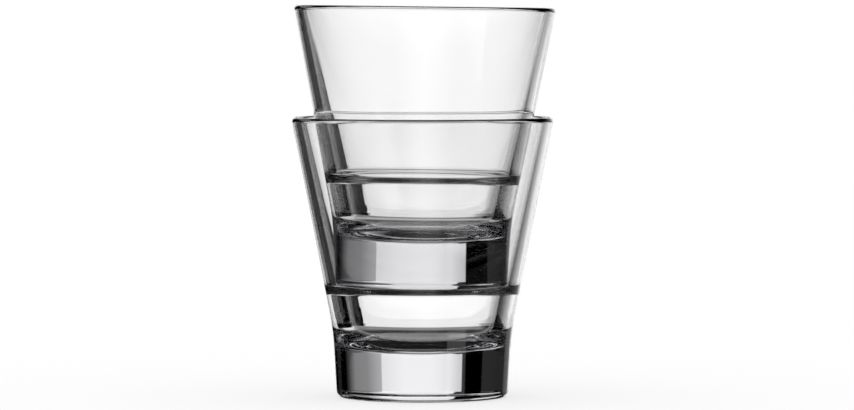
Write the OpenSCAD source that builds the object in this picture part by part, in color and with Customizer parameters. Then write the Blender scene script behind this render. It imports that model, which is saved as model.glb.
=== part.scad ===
// A stack of two pressed-glass tumblers, one seated in the other. Each glass is one turned solid:
// a heavy tapering foot, a flared wall with a rounded lip, and inside it a sloping ledge that carries
// the heel of the next glass and leaves a small chamber below it.
// Millimetres, +Z up. The origin is the middle of the lower foot, on the table plane.

/* [Body] */
// Height of one glass, from the table plane to the lip
glass_h = 86; // [78:0.5:96]
// Width of the outer cone at the height of the lip
rim_d = 80.9; // [76:0.1:86]
// Thickness of the wall at the lip
lip_wall = 2.65; // [2:0.05:3.2]

/* [Foot] */
// Width of the foot at the table plane, before its heel is rounded
foot_d = 52.8; // [52:0.1:53.6]
// Height at which the foot's side turns into the flare
foot_h = 20.4; // [17:0.1:22]
// Draft of the foot's side, in degrees
foot_draft = 3.2; // [2:0.1:5]
// Radius of the heel, between the foot's side and its bearing ring
heel_r = 2.1; // [1.6:0.1:2.8]
// Radius of the soft blend from the foot's side into the flare
waist_r = 80; // [40:1:90]
// Width of the hollow under the foot
punt_d = 37.5; // [34:0.5:42]
// Rise of the hollow under the foot, at its middle
punt_h = 1; // [0.6:0.1:1.6]
// Radius of the edge between the hollow and the bearing ring
punt_edge_r = 1.5; // [0.5:0.1:3]

/* [Inside] */
// Height of the ledge's inner edge above the table plane, before it is rounded
ledge_h = 33.3; // [31:0.1:36]
// Width of the chamber's mouth at that edge
mouth_d = 48.7; // [47.6:0.1:49]
// Slope of the ledge down to its inner edge, in degrees
ledge_slope = 26.7; // [20:0.1:32]
// Radius of the corner between the ledge and the wall above it
seat_r = 1.8; // [1:0.1:2]
// Radius of the ledge's rounded inner edge
ledge_edge_r = 2; // [1:0.1:2.2]
// Draft of the wall of the chamber, in degrees
chamber_draft = 11.2; // [9:0.1:13]
// Thickness of the base under the middle of the floor
floor_h = 13.8; // [12:0.1:15.5]
// Slope at the edge of the dished floor, in degrees
dish_angle = 12; // [8:0.5:18]
// Radius of the corner between the floor and the wall of the chamber
floor_corner_r = 9; // [6:0.1:10.5]

/* [Stack] */
// Play between the foot of the seated glass and the wall round it
stack_play = 0.45; // [0.4:0.05:0.8]
// Gap left between the heel of the upper glass and the ledge that carries it
seat_gap = 0.2; // [0.1:0.05:0.4]
// Lean of the upper glass to the right in its loose seat, in degrees
lean_angle = 0.7; // [0:0.1:0.9]
// How far the upper foot sits to the left in its loose seat
lean_set = 0.3; // [0:0.05:0.3]

/* [Hidden] */
$fn = 128;
glass_tint = [0.84, 0.89, 0.89, 0.5];

// Half-widths of the corners of the turned section
foot_x = foot_d / 2;
waist_x = foot_x + foot_h * tan(foot_draft);
rim_x = rim_d / 2;
lip_x = rim_x - lip_wall;
mouth_x = mouth_d / 2;
punt_x = punt_d / 2;

// The middle of the heel's arc, and the place where the arc runs into the foot's side
heel_reach = heel_r * tan(45 - foot_draft / 2);
heel_x = foot_x - heel_reach;
heel_side_x = foot_x + heel_reach * sin(foot_draft);
heel_side_h = heel_reach * cos(foot_draft);

// On the side it leans to, the upper heel stands off the slope of the ledge by the seat gap
heel_out = heel_x * cos(lean_angle) + heel_r * sin(lean_angle) - lean_set - mouth_x;
heel_drop = heel_x * sin(lean_angle) - heel_r * cos(lean_angle);
heel_stand = (heel_r + seat_gap) / cos(ledge_slope) + heel_out * tan(ledge_slope);
stack_pitch = ledge_h + heel_drop + heel_stand;

// The inner wall runs from the lip, past the seated foot, down to the slope of the ledge
wall_x = heel_side_x + stack_play;
wall_h = stack_pitch + heel_side_h;
wall_angle = atan((lip_x - wall_x) / (glass_h - wall_h));
seat_rise = (wall_x - mouth_x - (wall_h - ledge_h) * tan(wall_angle))
    / (1 / tan(ledge_slope) - tan(wall_angle));
seat_x = mouth_x + seat_rise / tan(ledge_slope);
seat_h = ledge_h + seat_rise;

// The two corners of the lip share its thickness, so that together they make a half round
flare_angle = atan((rim_x - waist_x) / (glass_h - foot_h));
lip_reach = tan(45 - flare_angle / 2) + tan(45 + wall_angle / 2);
lip_round_share = 0.98;
lip_r = lip_wall / lip_reach * lip_round_share;

// A dome is a level middle and a slope, rounded into one arc that nearly reaches the axis
arc_share = 0.95;
punt_bend_share = 0.5;
punt_bend_x = punt_x * punt_bend_share;
punt_angle = atan(punt_h / (punt_x - punt_bend_x));
punt_r = punt_bend_x * arc_share / tan(punt_angle / 2);

// The slope of the dished floor ends where the rounding of its corner with the chamber's wall starts
chamber_x = mouth_x - (ledge_h - floor_h) * tan(chamber_draft);
corner_reach = floor_corner_r * tan(45 - (dish_angle + chamber_draft) / 2);
slope_share = 1 / (cos(dish_angle) - sin(dish_angle) * tan(chamber_draft));
dish_bend_x = (chamber_x * slope_share - corner_reach) / (1 + slope_share);
dish_r = dish_bend_x * arc_share / tan(dish_angle / 2);
corner_rise = (chamber_x - dish_bend_x) * slope_share * sin(dish_angle);
corner_x = dish_bend_x + corner_rise / tan(dish_angle);
corner_h = floor_h + corner_rise;

// Corners of the section from the axis under the foot, round the lip, to the axis on the floor:
// half-width, height and radius of the rounding
section = [
    [0, punt_h, 0],
    [punt_bend_x, punt_h, punt_r],
    [punt_x, 0, punt_edge_r],
    [foot_x, 0, heel_r],
    [waist_x, foot_h, waist_r],
    [rim_x, glass_h, lip_r],
    [lip_x, glass_h, lip_r],
    [seat_x, seat_h, seat_r],
    [mouth_x, ledge_h, ledge_edge_r],
    [corner_x, corner_h, floor_corner_r],
    [dish_bend_x, floor_h, dish_r],
    [0, floor_h, 0],
];

function place(corner) = [corner[0], corner[1]];
function around(i) = let(n = len(section)) [
    place(section[(i + n - 1) % n]),
    place(section[i]),
    place(section[(i + 1) % n])
];
function unit(v) = v / norm(v);
function towards(p) = [unit(p[0] - p[1]), unit(p[2] - p[1])];
function half_angle(ways) = acos(ways[0] * ways[1]) / 2;
function turns_left(p) = cross(p[1] - p[0], p[2] - p[1]) > 0;

// Where the rounding of a corner leaves its two sides, and the middle of its arc
function arc_ends(i) = let(
    p = around(i),
    ways = towards(p),
    reach = section[i][2] / tan(half_angle(ways))
) [p[1] + reach * ways[0], p[1] + reach * ways[1]];
function arc_centre(i) = let(
    p = around(i),
    ways = towards(p)
) p[1] + section[i][2] / sin(half_angle(ways)) * unit(ways[0] + ways[1]);
function is_round(i) = section[i][2] > 0;
function outline_points(i) = is_round(i) ? arc_ends(i) : [place(section[i])];

// The sliver between a rounded corner's arc and its chord
module corner_arc(i) {
    ends = arc_ends(i);
    intersection() {
        translate(arc_centre(i)) circle(section[i][2]);
        polygon([ends[0], place(section[i]), ends[1]]);
    }
}

module rounded_section() {
    corners = [for (i = [0 : len(section) - 1]) i];
    difference() {
        union() {
            polygon([for (i = corners) each outline_points(i)]);
            for (i = corners) {
                if (is_round(i) && turns_left(around(i))) corner_arc(i);
            }
        }
        for (i = corners) {
            if (is_round(i) && !turns_left(around(i))) corner_arc(i);
        }
    }
}

module glass() {
    rotate_extrude() rounded_section();
}

module lower_glass() {
    color(glass_tint) glass();
}

module upper_glass() {
    color(glass_tint)
        translate([-lean_set, 0, stack_pitch])
            rotate([0, lean_angle, 0])
                glass();
}

lower_glass();
upper_glass();
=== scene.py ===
import math

import bpy
from mathutils import Matrix, Vector


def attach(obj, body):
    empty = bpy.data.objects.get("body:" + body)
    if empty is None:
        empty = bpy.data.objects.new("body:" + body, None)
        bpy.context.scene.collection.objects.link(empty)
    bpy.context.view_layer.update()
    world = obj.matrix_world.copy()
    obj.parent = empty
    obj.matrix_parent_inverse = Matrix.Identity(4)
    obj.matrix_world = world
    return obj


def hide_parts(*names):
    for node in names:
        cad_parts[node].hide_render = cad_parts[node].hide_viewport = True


# A stack of two pressed-glass tumblers on a lit white sheet. Metres, +Z up, as in the frame.
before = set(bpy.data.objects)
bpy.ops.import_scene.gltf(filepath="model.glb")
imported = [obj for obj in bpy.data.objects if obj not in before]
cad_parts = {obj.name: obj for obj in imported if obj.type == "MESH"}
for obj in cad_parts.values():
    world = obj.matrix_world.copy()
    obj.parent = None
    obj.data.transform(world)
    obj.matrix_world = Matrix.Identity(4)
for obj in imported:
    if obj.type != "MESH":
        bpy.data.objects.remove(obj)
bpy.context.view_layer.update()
MM = 0.001

# Sizes of one glass in millimetres, the same as the solids'
GLASS_H = 86.0
RIM_D = 80.9
LIP_WALL = 2.65
FOOT_D = 52.8
FOOT_H = 20.4
FOOT_DRAFT = math.radians(3.2)
HEEL_R = 2.1
WAIST_R = 80.0
PUNT_D = 37.5
PUNT_H = 1.0
PUNT_EDGE_R = 1.5
LEDGE_H = 33.3
MOUTH_D = 48.7
LEDGE_SLOPE = math.radians(26.7)
SEAT_R = 1.8
LEDGE_EDGE_R = 2.0
CHAMBER_DRAFT = math.radians(11.2)
FLOOR_H = 13.8
DISH_ANGLE = math.radians(12.0)
FLOOR_CORNER_R = 9.0

# How the upper glass sits in the lower one, in millimetres, and its lean
STACK_PLAY = 0.45
SEAT_GAP = 0.2
LEAN = math.radians(0.7)
LEAN_SET = 0.3

# Fineness of the turned mesh: steps round the axis, the widest step along a rounding and the fewest
# of them, and how far beyond a rounding its guard points lie, in millimetres
SEGMENTS = 384
ARC_STEP = math.radians(3.0)
MIN_ARC_STEPS = 4
GUARD = 0.25

# Stippled bearing ring under the foot: dents round it, their depth in millimetres, rows across it
STIPPLES = 96
STIPPLE_DEPTH = 0.05
STIPPLE_ROWS = 8

# Heights and distances under this, in metres, count as none
TINY = 1e-6

# The glass: length and height of the mould's ripple in millimetres, and what it absorbs per metre
RIPPLE_LENGTH = 14.0
RIPPLE_HEIGHT = 0.004
ABSORPTION = 10.5

# The set: how far the white sheet and the mat lie below the foot in millimetres, the side of the sheet
# and the radius and height of the cards in metres, and the widest step round a card in degrees
FLOOR_DROP = 0.1
MAT_DROP = 0.05
FLOOR_SIDE = 8.0
CARD_R = 2.0
CARD_H = 1.5
BEARING_STEP = 5

# How brightly the white sheet is lit from below, with the backdrop as 1
SHEET_SHINE = 0.65

# The mat shows its own tones to a view steeper than the first angle, and mirrors one below the second
STEEP_VIEW = math.radians(32)
LOW_VIEW = math.radians(27)


def stack_pitch():
    """Height of the upper glass's foot above the lower one's, in millimetres: the heel of the leaning
    glass stands off the sloping ledge by the seat gap."""
    heel_x = FOOT_D / 2 - HEEL_R * math.tan(math.pi / 4 - FOOT_DRAFT / 2)
    out = heel_x * math.cos(LEAN) + HEEL_R * math.sin(LEAN) - LEAN_SET - MOUTH_D / 2
    drop = heel_x * math.sin(LEAN) - HEEL_R * math.cos(LEAN)
    stand = (HEEL_R + SEAT_GAP) / math.cos(LEDGE_SLOPE) + out * math.tan(LEDGE_SLOPE)
    return LEDGE_H + drop + stand


def section_corners():
    """Corners of the turned section, from the axis under the foot to the axis on the floor:
    half-width, height and radius of the rounding, in millimetres."""
    quarter = math.pi / 4
    foot_x = FOOT_D / 2
    waist_x = foot_x + FOOT_H * math.tan(FOOT_DRAFT)
    rim_x = RIM_D / 2
    lip_x = rim_x - LIP_WALL
    punt_x = PUNT_D / 2
    mouth_x = MOUTH_D / 2
    # The inner wall runs from the lip, past the seated foot, down to the slope of the ledge
    heel_side = HEEL_R * math.tan(quarter - FOOT_DRAFT / 2)
    wall_x = foot_x + heel_side * math.sin(FOOT_DRAFT) + STACK_PLAY
    wall_h = stack_pitch() + heel_side * math.cos(FOOT_DRAFT)
    flare = math.atan((rim_x - waist_x) / (GLASS_H - FOOT_H))
    wall = math.atan((lip_x - wall_x) / (GLASS_H - wall_h))
    seat_rise = (wall_x - mouth_x - (wall_h - LEDGE_H) * math.tan(wall)) / (
        1 / math.tan(LEDGE_SLOPE) - math.tan(wall))
    seat_x = mouth_x + seat_rise / math.tan(LEDGE_SLOPE)
    # The two corners of the lip share its thickness, so that together they make a half round
    lip_round_share = 0.98
    lip_reach = math.tan(quarter - flare / 2) + math.tan(quarter + wall / 2)
    lip_r = LIP_WALL / lip_reach * lip_round_share
    # A dome is a level middle and a slope, rounded into one arc that nearly reaches the axis
    arc_share = 0.95
    punt_bend_share = 0.5
    punt_bend_x = punt_x * punt_bend_share
    punt_angle = math.atan(PUNT_H / (punt_x - punt_bend_x))
    punt_r = punt_bend_x * arc_share / math.tan(punt_angle / 2)
    # The slope of the dished floor ends where the rounding of its corner starts
    chamber_x = mouth_x - (LEDGE_H - FLOOR_H) * math.tan(CHAMBER_DRAFT)
    corner_reach = FLOOR_CORNER_R * math.tan(quarter - (DISH_ANGLE + CHAMBER_DRAFT) / 2)
    slope_share = 1 / (math.cos(DISH_ANGLE) - math.sin(DISH_ANGLE) * math.tan(CHAMBER_DRAFT))
    dish_bend_x = (chamber_x * slope_share - corner_reach) / (1 + slope_share)
    dish_r = dish_bend_x * arc_share / math.tan(DISH_ANGLE / 2)
    rise = (chamber_x - dish_bend_x) * slope_share * math.sin(DISH_ANGLE)
    corner_x = dish_bend_x + rise / math.tan(DISH_ANGLE)
    return [
        (0, PUNT_H, 0),
        (punt_bend_x, PUNT_H, punt_r),
        (punt_x, 0, PUNT_EDGE_R),
        (foot_x, 0, HEEL_R),
        (waist_x, FOOT_H, WAIST_R),
        (rim_x, GLASS_H, lip_r),
        (lip_x, GLASS_H, lip_r),
        (seat_x, LEDGE_H + seat_rise, SEAT_R),
        (mouth_x, LEDGE_H, LEDGE_EDGE_R),
        (corner_x, FLOOR_H + rise, FLOOR_CORNER_R),
        (dish_bend_x, FLOOR_H, dish_r),
        (0, FLOOR_H, 0),
    ]


def rounded(before, corner, after):
    """Points along the arc that rounds a corner. Where there is room, each end has a guard point on
    the straight, which keeps the smooth shading of the arc from running down the straight."""
    at = Vector(corner[:2])
    radius = corner[2]
    ways = [(Vector(p[:2]) - at).normalized() for p in (before, after)]
    half = ways[0].angle(ways[1]) / 2
    reach = radius / math.tan(half)
    centre = at + (ways[0] + ways[1]).normalized() * radius / math.sin(half)
    start = at + ways[0] * reach - centre
    turn = start.angle_signed(at + ways[1] * reach - centre)
    steps = max(MIN_ARC_STEPS, math.ceil(abs(turn) / ARC_STEP))
    arc = [centre + Matrix.Rotation(-turn * i / steps, 2) @ start for i in range(steps + 1)]
    room = [(Vector(p[:2]) - at).length - reach for p in (before, after)]
    guards = [at + way * (reach + GUARD) for way in ways]
    first = [guards[0]] if room[0] > 2 * GUARD else []
    last = [guards[1]] if room[1] > 2 * GUARD else []
    return first + arc + last


def section_points():
    """The section as one open line of points, in metres, with rows across the bearing ring for its
    stipples."""
    corners = section_corners()
    points = [Vector(corners[0][:2])]
    for before, corner, after in zip(corners, corners[1:], corners[2:]):
        stretch = rounded(before, corner, after)
        if corner[1] == 0 and before[1] == 0:
            inside = points[-1]
            ring = stretch[0] - inside
            points += [inside + ring * i / STIPPLE_ROWS for i in range(1, STIPPLE_ROWS)]
        points += stretch
    points.append(Vector(corners[-1][:2]))
    return [p * MM for p in points]


def srgb(code):
    """A hex colour as linear red, green, blue and alpha."""
    parts = [int(code[i:i + 2], 16) / 255 for i in (1, 3, 5)]
    return [c / 12.92 if c <= 0.04045 else ((c + 0.055) / 1.055) ** 2.4 for c in parts] + [1]


def add(tree, kind, inputs=None, **settings):
    """Adds a node. The settings are its properties, and each of the inputs named gets a value or the
    socket that feeds it."""
    node = tree.nodes.new(kind)
    for name, value in settings.items():
        setattr(node, name, value)
    for name, value in (inputs or {}).items():
        socket = node.inputs[name]
        if isinstance(value, bpy.types.NodeSocket):
            tree.links.new(value, socket)
        else:
            socket.default_value = value
    return node


def lathe_tree():
    """Turns a section, given as a line of points in X and Z, about the Z axis, and presses the
    stipples into the ring on which it stands."""
    tree = bpy.data.node_groups.new("turned_glass", "GeometryNodeTree")
    face = tree.interface
    face.new_socket("Geometry", in_out="INPUT", socket_type="NodeSocketGeometry")
    for name, kind in (
        ("Segments", "NodeSocketInt"),
        ("Points", "NodeSocketInt"),
        ("Stipples", "NodeSocketInt"),
        ("Stipple Depth", "NodeSocketFloat"),
        ("Ring Inside", "NodeSocketFloat"),
        ("Ring Outside", "NodeSocketFloat"),
        ("Glass", "NodeSocketMaterial"),
    ):
        face.new_socket(name, in_out="INPUT", socket_type=kind)
    face.new_socket("Geometry", in_out="OUTPUT", socket_type="NodeSocketGeometry")
    given = add(tree, "NodeGroupInput").outputs
    math_node = "ShaderNodeMath"
    # A grid with a row for each point of the section and a column for each step round the axis
    columns = add(tree, math_node, {0: given["Segments"], 1: 1}, operation="ADD").outputs[0]
    grid = add(tree, "GeometryNodeMeshGrid", {"Vertices X": given["Points"], "Vertices Y": columns})
    index = add(tree, "GeometryNodeInputIndex").outputs[0]
    row = add(tree, math_node, {0: index, 1: columns}, operation="DIVIDE").outputs[0]
    row = add(tree, math_node, {0: row}, operation="FLOOR").outputs[0]
    column = add(tree, math_node, {0: index, 1: columns}, operation="MODULO").outputs[0]
    turn = add(tree, math_node, {0: column, 1: given["Segments"]}, operation="DIVIDE").outputs[0]
    angle = add(tree, math_node, {0: turn, 1: math.tau}, operation="MULTIPLY").outputs[0]
    place = add(tree, "GeometryNodeInputPosition").outputs[0]
    sample = add(tree, "GeometryNodeSampleIndex", {
        "Geometry": given["Geometry"], "Value": place, "Index": row}, data_type="FLOAT_VECTOR")
    at = add(tree, "ShaderNodeSeparateXYZ", {0: sample.outputs[0]}).outputs
    # The stipples fade in and out across the ring, and only what lies on the table plane takes them
    inside = add(tree, "ShaderNodeMapRange", {
        "Value": at["X"], "From Min": given["Ring Inside"], "From Max": given["Ring Outside"],
        "To Min": 0, "To Max": math.pi}).outputs[0]
    fade = add(tree, math_node, {0: inside}, operation="SINE").outputs[0]
    level = add(tree, math_node, {0: at["Z"], 1: TINY}, operation="LESS_THAN").outputs[0]
    waves = add(tree, math_node, {0: angle, 1: given["Stipples"]}, operation="MULTIPLY").outputs[0]
    wave = add(tree, math_node, {0: waves}, operation="COSINE").outputs[0]
    hollow = add(tree, math_node, {0: wave, 1: -0.5, 2: 0.5}, operation="MULTIPLY_ADD").outputs[0]
    hollow = add(tree, math_node, {0: hollow, 1: fade}, operation="MULTIPLY").outputs[0]
    hollow = add(tree, math_node, {0: hollow, 1: level}, operation="MULTIPLY").outputs[0]
    height = add(tree, math_node, {0: hollow, 1: given["Stipple Depth"], 2: at["Z"]},
                 operation="MULTIPLY_ADD").outputs[0]
    # Each point of the grid goes to its place on the turned skin, and the seam and the poles close
    side = add(tree, math_node, {0: angle}, operation="COSINE").outputs[0]
    side = add(tree, math_node, {0: side, 1: at["X"]}, operation="MULTIPLY").outputs[0]
    deep = add(tree, math_node, {0: angle}, operation="SINE").outputs[0]
    deep = add(tree, math_node, {0: deep, 1: at["X"]}, operation="MULTIPLY").outputs[0]
    turned = add(tree, "ShaderNodeCombineXYZ", {"X": side, "Y": deep, "Z": height}).outputs[0]
    skin = add(tree, "GeometryNodeSetPosition", {"Geometry": grid.outputs[0], "Position": turned})
    skin = add(tree, "GeometryNodeMergeByDistance", {"Geometry": skin.outputs[0], "Distance": TINY})
    skin = add(tree, "GeometryNodeFlipFaces", {"Mesh": skin.outputs[0]})
    skin = add(tree, "GeometryNodeSetShadeSmooth", {"Geometry": skin.outputs[0]})
    skin = add(tree, "GeometryNodeRealizeInstances", {"Geometry": skin.outputs[0]})
    skin = add(tree, "GeometryNodeSetMaterial",
               {"Geometry": skin.outputs[0], "Material": given["Glass"]})
    add(tree, "NodeGroupOutput", {0: skin.outputs[0]})
    return tree


def turned_mesh(name, glass):
    """The mesh of one glass, standing on the origin."""
    points = section_points()
    line = bpy.data.meshes.new("section")
    edges = [(i, i + 1) for i in range(len(points) - 1)]
    line.from_pydata([(p.x, 0, p.y) for p in points], edges, [])
    holder = bpy.data.objects.new("section", line)
    bpy.context.collection.objects.link(holder)
    modifier = holder.modifiers.new("turned", "NODES")
    modifier.node_group = lathe_tree()
    sizes = {
        "Segments": SEGMENTS,
        "Points": len(points),
        "Stipples": STIPPLES,
        "Stipple Depth": STIPPLE_DEPTH * MM,
        "Ring Inside": (PUNT_D / 2) * MM,
        "Ring Outside": (FOOT_D / 2 - HEEL_R) * MM,
        "Glass": glass,
    }
    for socket in modifier.node_group.interface.items_tree:
        if socket.name in sizes:
            modifier[socket.identifier] = sizes[socket.name]
    evaluated = holder.evaluated_get(bpy.context.evaluated_depsgraph_get())
    mesh = bpy.data.meshes.new_from_object(evaluated)
    mesh.name = name
    bpy.data.objects.remove(holder)
    bpy.data.meshes.remove(line)
    return mesh


def empty_material(name):
    """A material that has no nodes yet."""
    material = bpy.data.materials.new(name)
    material.use_nodes = True
    material.node_tree.nodes.clear()
    return material


def pressed_glass():
    """Pressed soda-lime glass, fire-polished: clear and colourless, with a bright skin over the slow
    ripple that the mould leaves, and a faint cool grey where the eye looks through the base."""
    material = empty_material("pressed_soda_lime_glass")
    tree = material.node_tree
    place = add(tree, "ShaderNodeTexCoord").outputs["Object"]
    ripple = add(tree, "ShaderNodeTexNoise", {
        "Vector": place, "Scale": 1 / (RIPPLE_LENGTH * MM), "Detail": 1})
    bump = add(tree, "ShaderNodeBump", {
        "Height": ripple.outputs[0], "Strength": 1, "Distance": RIPPLE_HEIGHT * MM})
    surface = add(tree, "ShaderNodeBsdfPrincipled", {
        "Base Color": srgb("#FFFFFF"),
        "Roughness": 0.0,
        "IOR": 1.52,
        "Transmission Weight": 1.0,
        "Normal": bump.outputs[0],
    })
    volume = add(tree, "ShaderNodeVolumeAbsorption", {
        "Color": srgb("#DADAE0"), "Density": ABSORPTION})
    add(tree, "ShaderNodeOutputMaterial", {
        "Surface": surface.outputs[0], "Volume": volume.outputs[0]})
    return material


def graded_card(name, glossy=False):
    """Lit card whose points carry the tone it shines with, for soft bands of light and dark in the
    glass. A glossy one mirrors, in a low view, what stands behind it."""
    material = empty_material(name)
    tree = material.node_tree
    tone = add(tree, "ShaderNodeAttribute", attribute_name="tone").outputs["Fac"]
    look = add(tree, "ShaderNodeEmission", {"Color": tone, "Strength": 1.0})
    if glossy:
        facing = add(tree, "ShaderNodeLayerWeight", {"Blend": 0.5}).outputs["Facing"]
        low = add(tree, "ShaderNodeMapRange", {
            "Value": facing, "From Min": 1 - math.sin(STEEP_VIEW), "From Max": 1 - math.sin(LOW_VIEW)})
        mirror = add(tree, "ShaderNodeBsdfGlossy", {"Color": srgb("#FFFFFF"), "Roughness": 0.0})
        look = add(tree, "ShaderNodeMixShader", {
            0: low.outputs[0], 1: look.outputs[0], 2: mirror.outputs[0]})
    add(tree, "ShaderNodeOutputMaterial", {"Surface": look.outputs[0]})
    return material


def lit_sheet():
    """White acrylic sheet, lit mostly from below: as bright as the backdrop, with a soft shadow under
    the glass."""
    material = empty_material("lit_white_acrylic")
    tree = material.node_tree
    shine = add(tree, "ShaderNodeEmission", {"Color": srgb("#FFFFFF"), "Strength": SHEET_SHINE})
    matt = add(tree, "ShaderNodeBsdfDiffuse", {"Color": srgb("#A0A0A0")})
    both = add(tree, "ShaderNodeAddShader", {0: shine.outputs[0], 1: matt.outputs[0]})
    add(tree, "ShaderNodeOutputMaterial", {"Surface": both.outputs[0]})
    return material


def stage_mesh(name, verts, faces, material):
    """A sheet of the set round the object."""
    mesh = bpy.data.meshes.new(name)
    mesh.from_pydata(verts, [], faces)
    mesh.materials.append(material)
    sheet = bpy.data.objects.new(name, mesh)
    bpy.context.collection.objects.link(sheet)
    return sheet


def tone_at(stops, bearing):
    """The tone at a bearing, from stops in order of their bearings."""
    for (a, tone_a), (b, tone_b) in zip(stops, stops[1:]):
        if a <= bearing <= b:
            return tone_a + (tone_b - tone_a) * (bearing - a) / (b - a)


def ring_cards(name, rings, material):
    """Cards round the set as one sheet through rings, which only the glass sees. Each ring has its
    radius, its height, and its tones by bearing."""
    named = {bearing for _, _, stops in rings for bearing, _ in stops}
    bearings = sorted(named | set(range(-180, 181, BEARING_STEP)))
    verts = []
    tones = []
    for radius, height, stops in rings:
        for bearing in bearings:
            turn = math.radians(bearing)
            verts.append((radius * math.sin(turn), radius * math.cos(turn), height))
            tones.append(tone_at(stops, bearing))
    width = len(bearings)
    faces = []
    for j in range(len(rings) - 1):
        for i in range(width - 1):
            k = j * width + i
            faces.append((k, k + 1, k + width + 1, k + width))
    sheet = stage_mesh(name, verts, faces, material)
    sheet.data.attributes.new("tone", "FLOAT", "POINT").data.foreach_set("value", tones)
    sheet.visible_camera = False
    sheet.visible_diffuse = False
    sheet.visible_shadow = False


def around(back, left, right, front):
    """Stops of a ring that has one tone behind the glass, one on each side and one in front."""
    return [
        (-180, front), (-120, front), (-100, left), (-30, left), (-20, back),
        (20, back), (30, right), (100, right), (120, front), (180, front),
    ]


# What the glass sees round it. Each stop is a bearing, in degrees to the right of the way the camera
# looks, and the tone there, with the backdrop as 1. White stands behind the glass, black and dark grey
# on its left, grey and black on its right. The cards on the left and at the front right are there for
# the views from other sides, and those at the top light the glass from above.
LEFT_CARD = [(-180, 0.0), (-104, 0.0), (-102, 1.0), (-78, 1.0), (-76, 0.02)]
FRONT_CARD_LOW = [(122, 0.0), (124, 0.4), (146, 0.4), (148, 0.0), (180, 0.0)]
FRONT_CARD_HIGH = [(121, 0.0), (123, 0.9), (147, 0.9), (149, 0.0), (180, 0.0)]
FOOT_TONES = LEFT_CARD + [
    (-32, 0.03), (-31, 0.0), (-18.6, 0.0), (-18.2, 0.68), (-12, 0.98), (-4, 1.12), (8, 1.12),
    (18.8, 0.95), (19.2, 0.52), (24, 0.4), (28, 0.3), (38, 0.27), (46, 0.05), (50, 0.0),
] + FRONT_CARD_LOW
LOW_TONES = LEFT_CARD + [
    (-32, 0.03), (-31, 0.0), (-18.6, 0.0), (-18.2, 0.88), (-12, 1.08), (-6, 1.12), (18.8, 1.14),
    (19.2, 0.62), (22, 0.2), (25, 0.05), (30, 0.12), (40, 0.12), (50, 0.0),
] + FRONT_CARD_LOW
BOWL_TONES = LEFT_CARD + [
    (-45, 0.0), (-15, 0.0), (-14.6, 1.05), (-11, 1.16), (-8, 1.2), (8, 1.2), (18.8, 1.22),
    (19.2, 0.75), (22, 0.25), (25, 0.05), (50, 0.0),
] + FRONT_CARD_LOW
SEAT_TONES = LEFT_CARD + [
    (-46, 0.0), (-45, 0.08), (-32, 0.08), (-31, 0.0), (-15.6, 0.0), (-15.2, 0.9), (-12, 1.1),
    (0, 1.16), (8, 1.2), (18, 1.25), (20, 1.1), (24, 0.75), (27, 0.45), (32, 0.2), (44, 0.1), (50, 0.0),
] + FRONT_CARD_LOW
HIGH_TONES = [
    (-180, 0.0), (-46, 0.0), (-45, 0.06), (-32, 0.06), (-31, 0.0), (-14.8, 0.0), (-14.4, 1.0),
    (13, 1.05), (19, 1.15), (21, 0.9), (26, 0.65), (28, 0.4), (42, 0.36), (46, 0.04), (60, 0.0),
    (180, 0.0),
]
UPPER_TONES = [
    (-180, 0.0), (-46, 0.0), (-45, 0.04), (-32, 0.04), (-31, 0.0), (-14.8, 0.0), (-14.4, 1.0),
    (13, 1.05), (16, 0.9), (20, 0.7), (26, 0.45), (34, 0.3), (40, 0.15), (48, 0.06), (60, 0.0),
] + FRONT_CARD_HIGH
LIFTED_TONES = [
    (-180, 0.0), (-14, 0.0), (-12, 1.0), (11, 1.02), (14, 0.5), (25, 0.25), (28, 0.02), (60, 0.0),
] + FRONT_CARD_HIGH
TOP_TONES = [
    (-180, 0.4), (-165, 0.1), (-150, 0.0), (-64, 0.0), (-62, 0.9), (-28, 0.9), (-26, 0.3), (8, 0.3),
    (20, 0.0), (150, 0.0), (165, 0.4), (180, 0.4),
]
ROOF_TONES = [(-180, 0.0), (180, 0.0)]

# Rows of cards from the mat to the roof, each from its lower to its upper height in metres; between two
# rows the tones blend
CARDS = [
    (CARD_R, height, tones)
    for lower, upper, tones in (
        (-MAT_DROP * MM, 0.026, FOOT_TONES),
        (0.034, 0.045, LOW_TONES),
        (0.075, 0.095, BOWL_TONES),
        (0.125, 0.165, SEAT_TONES),
        (0.175, 0.27, HIGH_TONES),
        (0.29, 0.44, UPPER_TONES),
        (0.46, 0.65, LIFTED_TONES),
        (0.68, 1.2, TOP_TONES),
        (1.25, CARD_H, ROOF_TONES),
    )
    for height in (lower, upper)
] + [(0, CARD_H, ROOF_TONES)]

# The mat's tones behind the glass, on its left, on its right and in front, by the distance from its
# axis. The mat, which only the glass sees, carries a painted shadow round the foot: nearly black under
# the glass, lighter outwards up to the white of the sheet
PAINTED_SHADOW_MAT = [
    (radius, -MAT_DROP * MM, around(*tones))
    for radius, *tones in (
        (0, 0.01, 0.01, 0.01, 0.01),
        (0.03, 0.02, 0.02, 0.01, 0.01),
        (0.05, 0.1, 0.25, 0.1, 0.1),
        (0.08, 0.4, 0.55, 0.35, 0.4),
        (0.12, 0.95, 0.9, 0.85, 0.9),
        (0.18, 1.1, 1.0, 1.0, 1.0),
        (CARD_R, 1.1, 1.0, 1.0, 1.0),
    )
]

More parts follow.
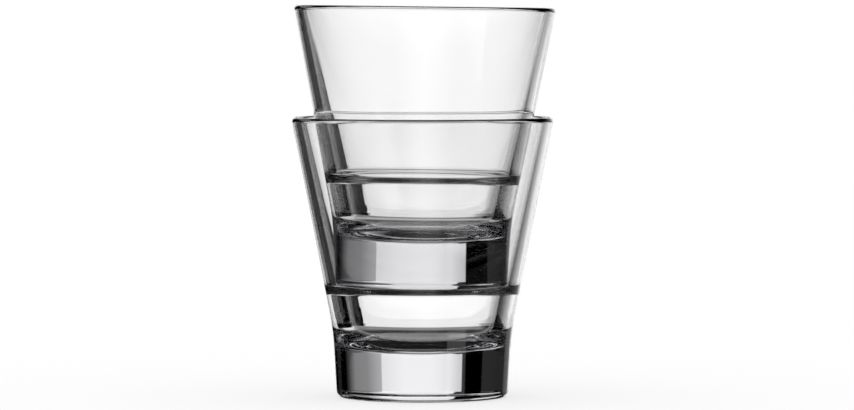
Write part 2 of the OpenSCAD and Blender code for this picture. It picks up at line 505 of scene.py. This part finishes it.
# The two glasses, the upper one leaning in its seat
glass = pressed_glass()
lower_mesh = turned_mesh("lower_glass_body", glass)
upper_mesh = lower_mesh.copy()
upper_mesh.name = "upper_glass_body"
seat = Matrix.Translation((-LEAN_SET * MM, 0, stack_pitch() * MM)) @ Matrix.Rotation(LEAN, 4, "Y")
upper_mesh.transform(seat)
for node, mesh in (("lower_glass", lower_mesh), ("upper_glass", upper_mesh)):
    piece = bpy.data.objects.new(mesh.name, mesh)
    bpy.context.collection.objects.link(piece)
    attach(piece, node)
    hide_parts(node)

# The set
side = FLOOR_SIDE / 2
low = -FLOOR_DROP * MM
stage_mesh("floor", [(-side, -side, low), (side, -side, low), (side, side, low), (-side, side, low)],
           [(0, 1, 2, 3)], lit_sheet())
ring_cards("cards", CARDS, graded_card("graded_card"))
# The mat under the glass carries a painted shadow round the foot, seen only in the glass, and becomes a
# mirror in a low view
ring_cards("table", PAINTED_SHADOW_MAT, graded_card("glossy_painted_shadow_card", glossy=True))

scene = bpy.context.scene
world = bpy.data.worlds.new("white_studio")
world.use_nodes = True
backdrop = world.node_tree.nodes["Background"].inputs
backdrop["Color"].default_value = srgb("#FFFFFF")
backdrop["Strength"].default_value = 1.0
scene.world = world

# Camera: long lens, level with the lip of the upper glass. The photo's sizes and places are in pixels.
PHOTO_W = 854
PHOTO_H = 410
AXIS_PX = 422.4
TABLE_PX = 397.0
PX_PER_GLASS = 280.0
DISTANCE_PX = 5100.0
TABLE_SLOPE = 0.077
mm_per_px = GLASS_H / PX_PER_GLASS
target = Vector(((PHOTO_W / 2 - AXIS_PX) * mm_per_px, 0, (TABLE_PX - PHOTO_H / 2) * mm_per_px)) * MM
eye = Vector((target.x, -DISTANCE_PX * mm_per_px * MM, DISTANCE_PX * TABLE_SLOPE * mm_per_px * MM))
camera_data = bpy.data.cameras.new("camera")
camera = bpy.data.objects.new("camera", camera_data)
bpy.context.collection.objects.link(camera)
camera.location = eye
camera.rotation_euler = (target - eye).to_track_quat("-Z", "Y").to_euler()
camera_data.lens = camera_data.sensor_width * DISTANCE_PX / PHOTO_W
scene.camera = camera

scene.view_settings.view_transform = "Standard"
# A ray passes many walls of glass before it reaches a card
scene.cycles.max_bounces = 32
scene.cycles.transmission_bounces = 32
scene.cycles.glossy_bounces = 16
